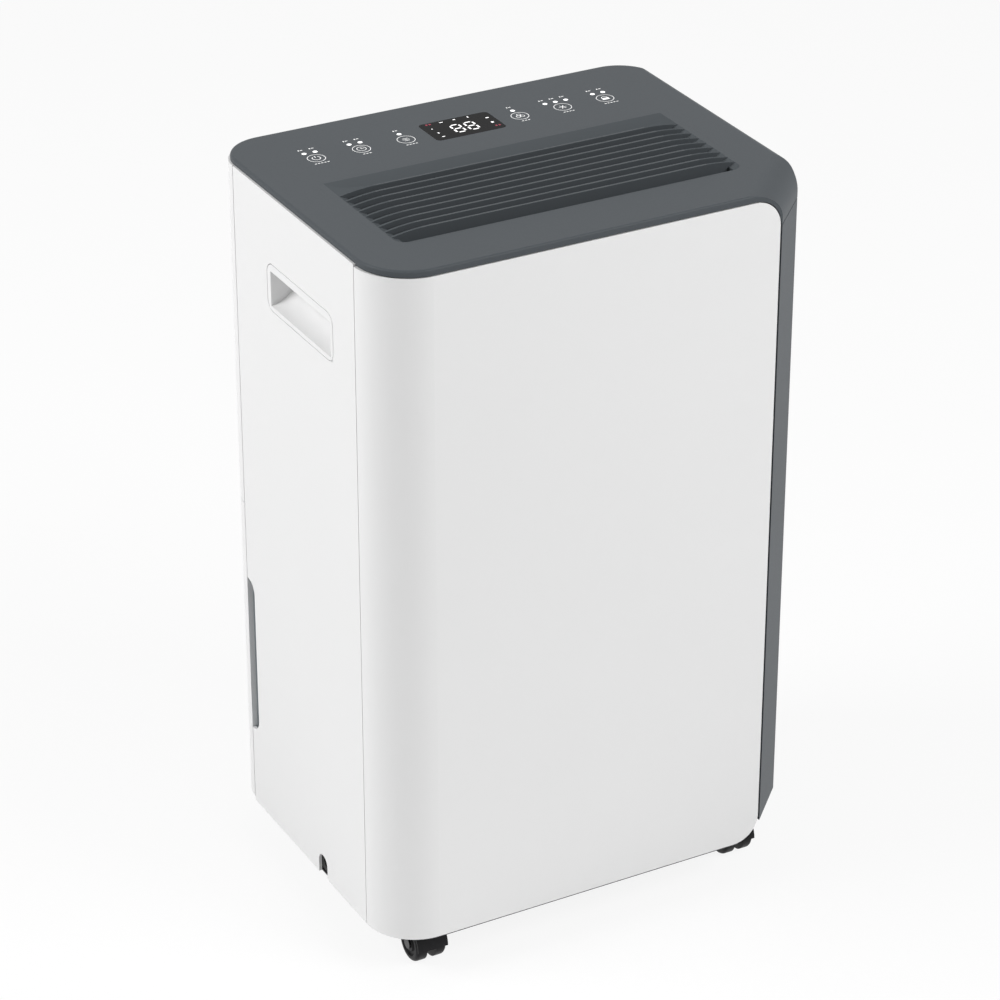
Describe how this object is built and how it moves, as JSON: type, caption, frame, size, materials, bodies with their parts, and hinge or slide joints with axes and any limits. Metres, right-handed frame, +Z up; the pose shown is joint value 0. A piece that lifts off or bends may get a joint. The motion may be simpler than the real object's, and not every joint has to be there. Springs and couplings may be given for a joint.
{
  "type": "dehumidifier",
  "caption": "Upright room dehumidifier on casters: white front and side, dark top with crowned outlet louvres, touch panel and display, rear filter and slide-out water tank.",
  "frame": {"origin": "on the floor under the middle of the plan, where the wheels stand", "axes": "+Z up, the front panel faces -Y, the handle side seen in the picture faces -X"},
  "size_m": [0.368, 0.277, 0.604],
  "materials": {
    "white_plastic": "satin",
    "grey_plastic": "satin",
    "dark_plastic": "matte",
    "display_black": "gloss",
    "board_green": "matte",
    "chassis_grey": "matte",
    "tank_plastic": "satin",
    "fin_aluminium": "satin",
    "copper_tube": "satin",
    "steel_black": "gloss",
    "motor_steel": "brushed",
    "rubber_black": "matte",
    "caster_black": "satin",
    "float_foam": "matte"
  },
  "bodies": {
    "housing": {"front_panel": "white_plastic", "left_side_panel": "white_plastic", "right_side_panel": "grey_plastic", "rear_cover": "white_plastic", "top_cover": "grey_plastic", "outlet_grille": "grey_plastic", "display_window": "display_black", "control_board": "board_green", "left_handle_cup": "white_plastic", "right_handle_cup": "grey_plastic", "base_pan": "dark_plastic", "mid_frame": "chassis_grey", "casing_screws": "motor_steel", "drip_tray": "chassis_grey", "condenser_fins": "fin_aluminium", "condenser_tubes": "copper_tube", "evaporator_fins": "fin_aluminium", "evaporator_tubes": "copper_tube", "suction_pipe": "copper_tube", "discharge_pipe": "copper_tube", "filter_drier": "copper_tube", "capillary_tube": "copper_tube", "fan_scroll": "chassis_grey", "scroll_cover": "chassis_grey", "fan_motor": "motor_steel", "compressor": "steel_black", "compressor_feet": "rubber_black", "electronics_box": "chassis_grey", "electronics_lid": "chassis_grey", "power_board": "board_green", "run_capacitor": "white_plastic", "tank_switch": "dark_plastic", "cord_gland": "rubber_black"},
    "fan": {"fan_impeller": "dark_plastic", "motor_shaft": "motor_steel"},
    "tank": {"tank_body": "tank_plastic", "tank_face": "white_plastic", "tank_lid": "tank_plastic"},
    "tank_bail": {"tank_handle": "dark_plastic"},
    "tank_level": {"tank_float": "float_foam"},
    "intake": {"inlet_grille": "grey_plastic", "filter_mesh": "dark_plastic"},
    "caster_front_left_swivel": {"caster_front_left_fork": "caster_black", "caster_front_left_axle": "steel_black"},
    "caster_front_left_wheel_left": {"caster_front_left_wheel_left": "caster_black"},
    "caster_front_left_wheel_right": {"caster_front_left_wheel_right": "caster_black"},
    "caster_front_right_swivel": {"caster_front_right_fork": "caster_black", "caster_front_right_axle": "steel_black"},
    "caster_front_right_wheel_left": {"caster_front_right_wheel_left": "caster_black"},
    "caster_front_right_wheel_right": {"caster_front_right_wheel_right": "caster_black"},
    "caster_rear_left_swivel": {"caster_rear_left_fork": "caster_black", "caster_rear_left_axle": "steel_black"},
    "caster_rear_left_wheel_left": {"caster_rear_left_wheel_left": "caster_black"},
    "caster_rear_left_wheel_right": {"caster_rear_left_wheel_right": "caster_black"},
    "caster_rear_right_swivel": {"caster_rear_right_fork": "caster_black", "caster_rear_right_axle": "steel_black"},
    "caster_rear_right_wheel_left": {"caster_rear_right_wheel_left": "caster_black"},
    "caster_rear_right_wheel_right": {"caster_rear_right_wheel_right": "caster_black"}
  },
  "joints": [
    {"name": "fan_spin", "type": "hinge", "parent": "housing", "child": "fan", "pos_m": [0, 0, 0.437], "axis": [0, 1, 0], "continuous": true},
    {"name": "tank_slide", "type": "slide", "parent": "housing", "child": "tank", "axis": [0, 1, 0], "range_m": [0, 0.18]},
    {"name": "tank_handle_swing", "type": "hinge", "parent": "tank", "child": "tank_bail", "pos_m": [0, 0.06, 0.259], "axis": [1, 0, 0], "range_deg": [0, 90]},
    {"name": "float_tilt", "type": "hinge", "parent": "tank", "child": "tank_level", "pos_m": [0.06, 0.03, 0.237], "axis": [1, 0, 0], "range_deg": [0, 18]},
    {"name": "intake_pull", "type": "slide", "parent": "housing", "child": "intake", "axis": [0, 1, 0], "range_m": [0, 0.04]},
    {"name": "caster_front_left_swivel", "type": "hinge", "parent": "housing", "child": "caster_front_left_swivel", "pos_m": [-0.142, -0.103, 0.033], "axis": [0, 0, 1], "continuous": true},
    {"name": "caster_front_left_wheel_left_roll", "type": "hinge", "parent": "caster_front_left_swivel", "child": "caster_front_left_wheel_left", "pos_m": [-0.142, -0.11, 0.0155], "axis": [1, 0, 0], "continuous": true},
    {"name": "caster_front_left_wheel_right_roll", "type": "hinge", "parent": "caster_front_left_swivel", "child": "caster_front_left_wheel_right", "pos_m": [-0.142, -0.11, 0.0155], "axis": [1, 0, 0], "continuous": true},
    {"name": "caster_front_right_swivel", "type": "hinge", "parent": "housing", "child": "caster_front_right_swivel", "pos_m": [0.1475, -0.103, 0.033], "axis": [0, 0, 1], "continuous": true},
    {"name": "caster_front_right_wheel_left_roll", "type": "hinge", "parent": "caster_front_right_swivel", "child": "caster_front_right_wheel_left", "pos_m": [0.1475, -0.096, 0.0155], "axis": [1, 0, 0], "continuous": true},
    {"name": "caster_front_right_wheel_right_roll", "type": "hinge", "parent": "caster_front_right_swivel", "child": "caster_front_right_wheel_right", "pos_m": [0.1475, -0.096, 0.0155], "axis": [1, 0, 0], "continuous": true},
    {"name": "caster_rear_left_swivel", "type": "hinge", "parent": "housing", "child": "caster_rear_left_swivel", "pos_m": [-0.142, 0.098, 0.033], "axis": [0, 0, 1], "continuous": true},
    {"name": "caster_rear_left_wheel_left_roll", "type": "hinge", "parent": "caster_rear_left_swivel", "child": "caster_rear_left_wheel_left", "pos_m": [-0.142, 0.105, 0.0155], "axis": [1, 0, 0], "continuous": true},
    {"name": "caster_rear_left_wheel_right_roll", "type": "hinge", "parent": "caster_rear_left_swivel", "child": "caster_rear_left_wheel_right", "pos_m": [-0.142, 0.105, 0.0155], "axis": [1, 0, 0], "continuous": true},
    {"name": "caster_rear_right_swivel", "type": "hinge", "parent": "housing", "child": "caster_rear_right_swivel", "pos_m": [0.142, 0.098, 0.033], "axis": [0, 0, 1], "continuous": true},
    {"name": "caster_rear_right_wheel_left_roll", "type": "hinge", "parent": "caster_rear_right_swivel", "child": "caster_rear_right_wheel_left", "pos_m": [0.142, 0.105, 0.0155], "axis": [1, 0, 0], "continuous": true},
    {"name": "caster_rear_right_wheel_right_roll", "type": "hinge", "parent": "caster_rear_right_swivel", "child": "caster_rear_right_wheel_right", "pos_m": [0.142, 0.105, 0.0155], "axis": [1, 0, 0], "continuous": true}
  ]
}
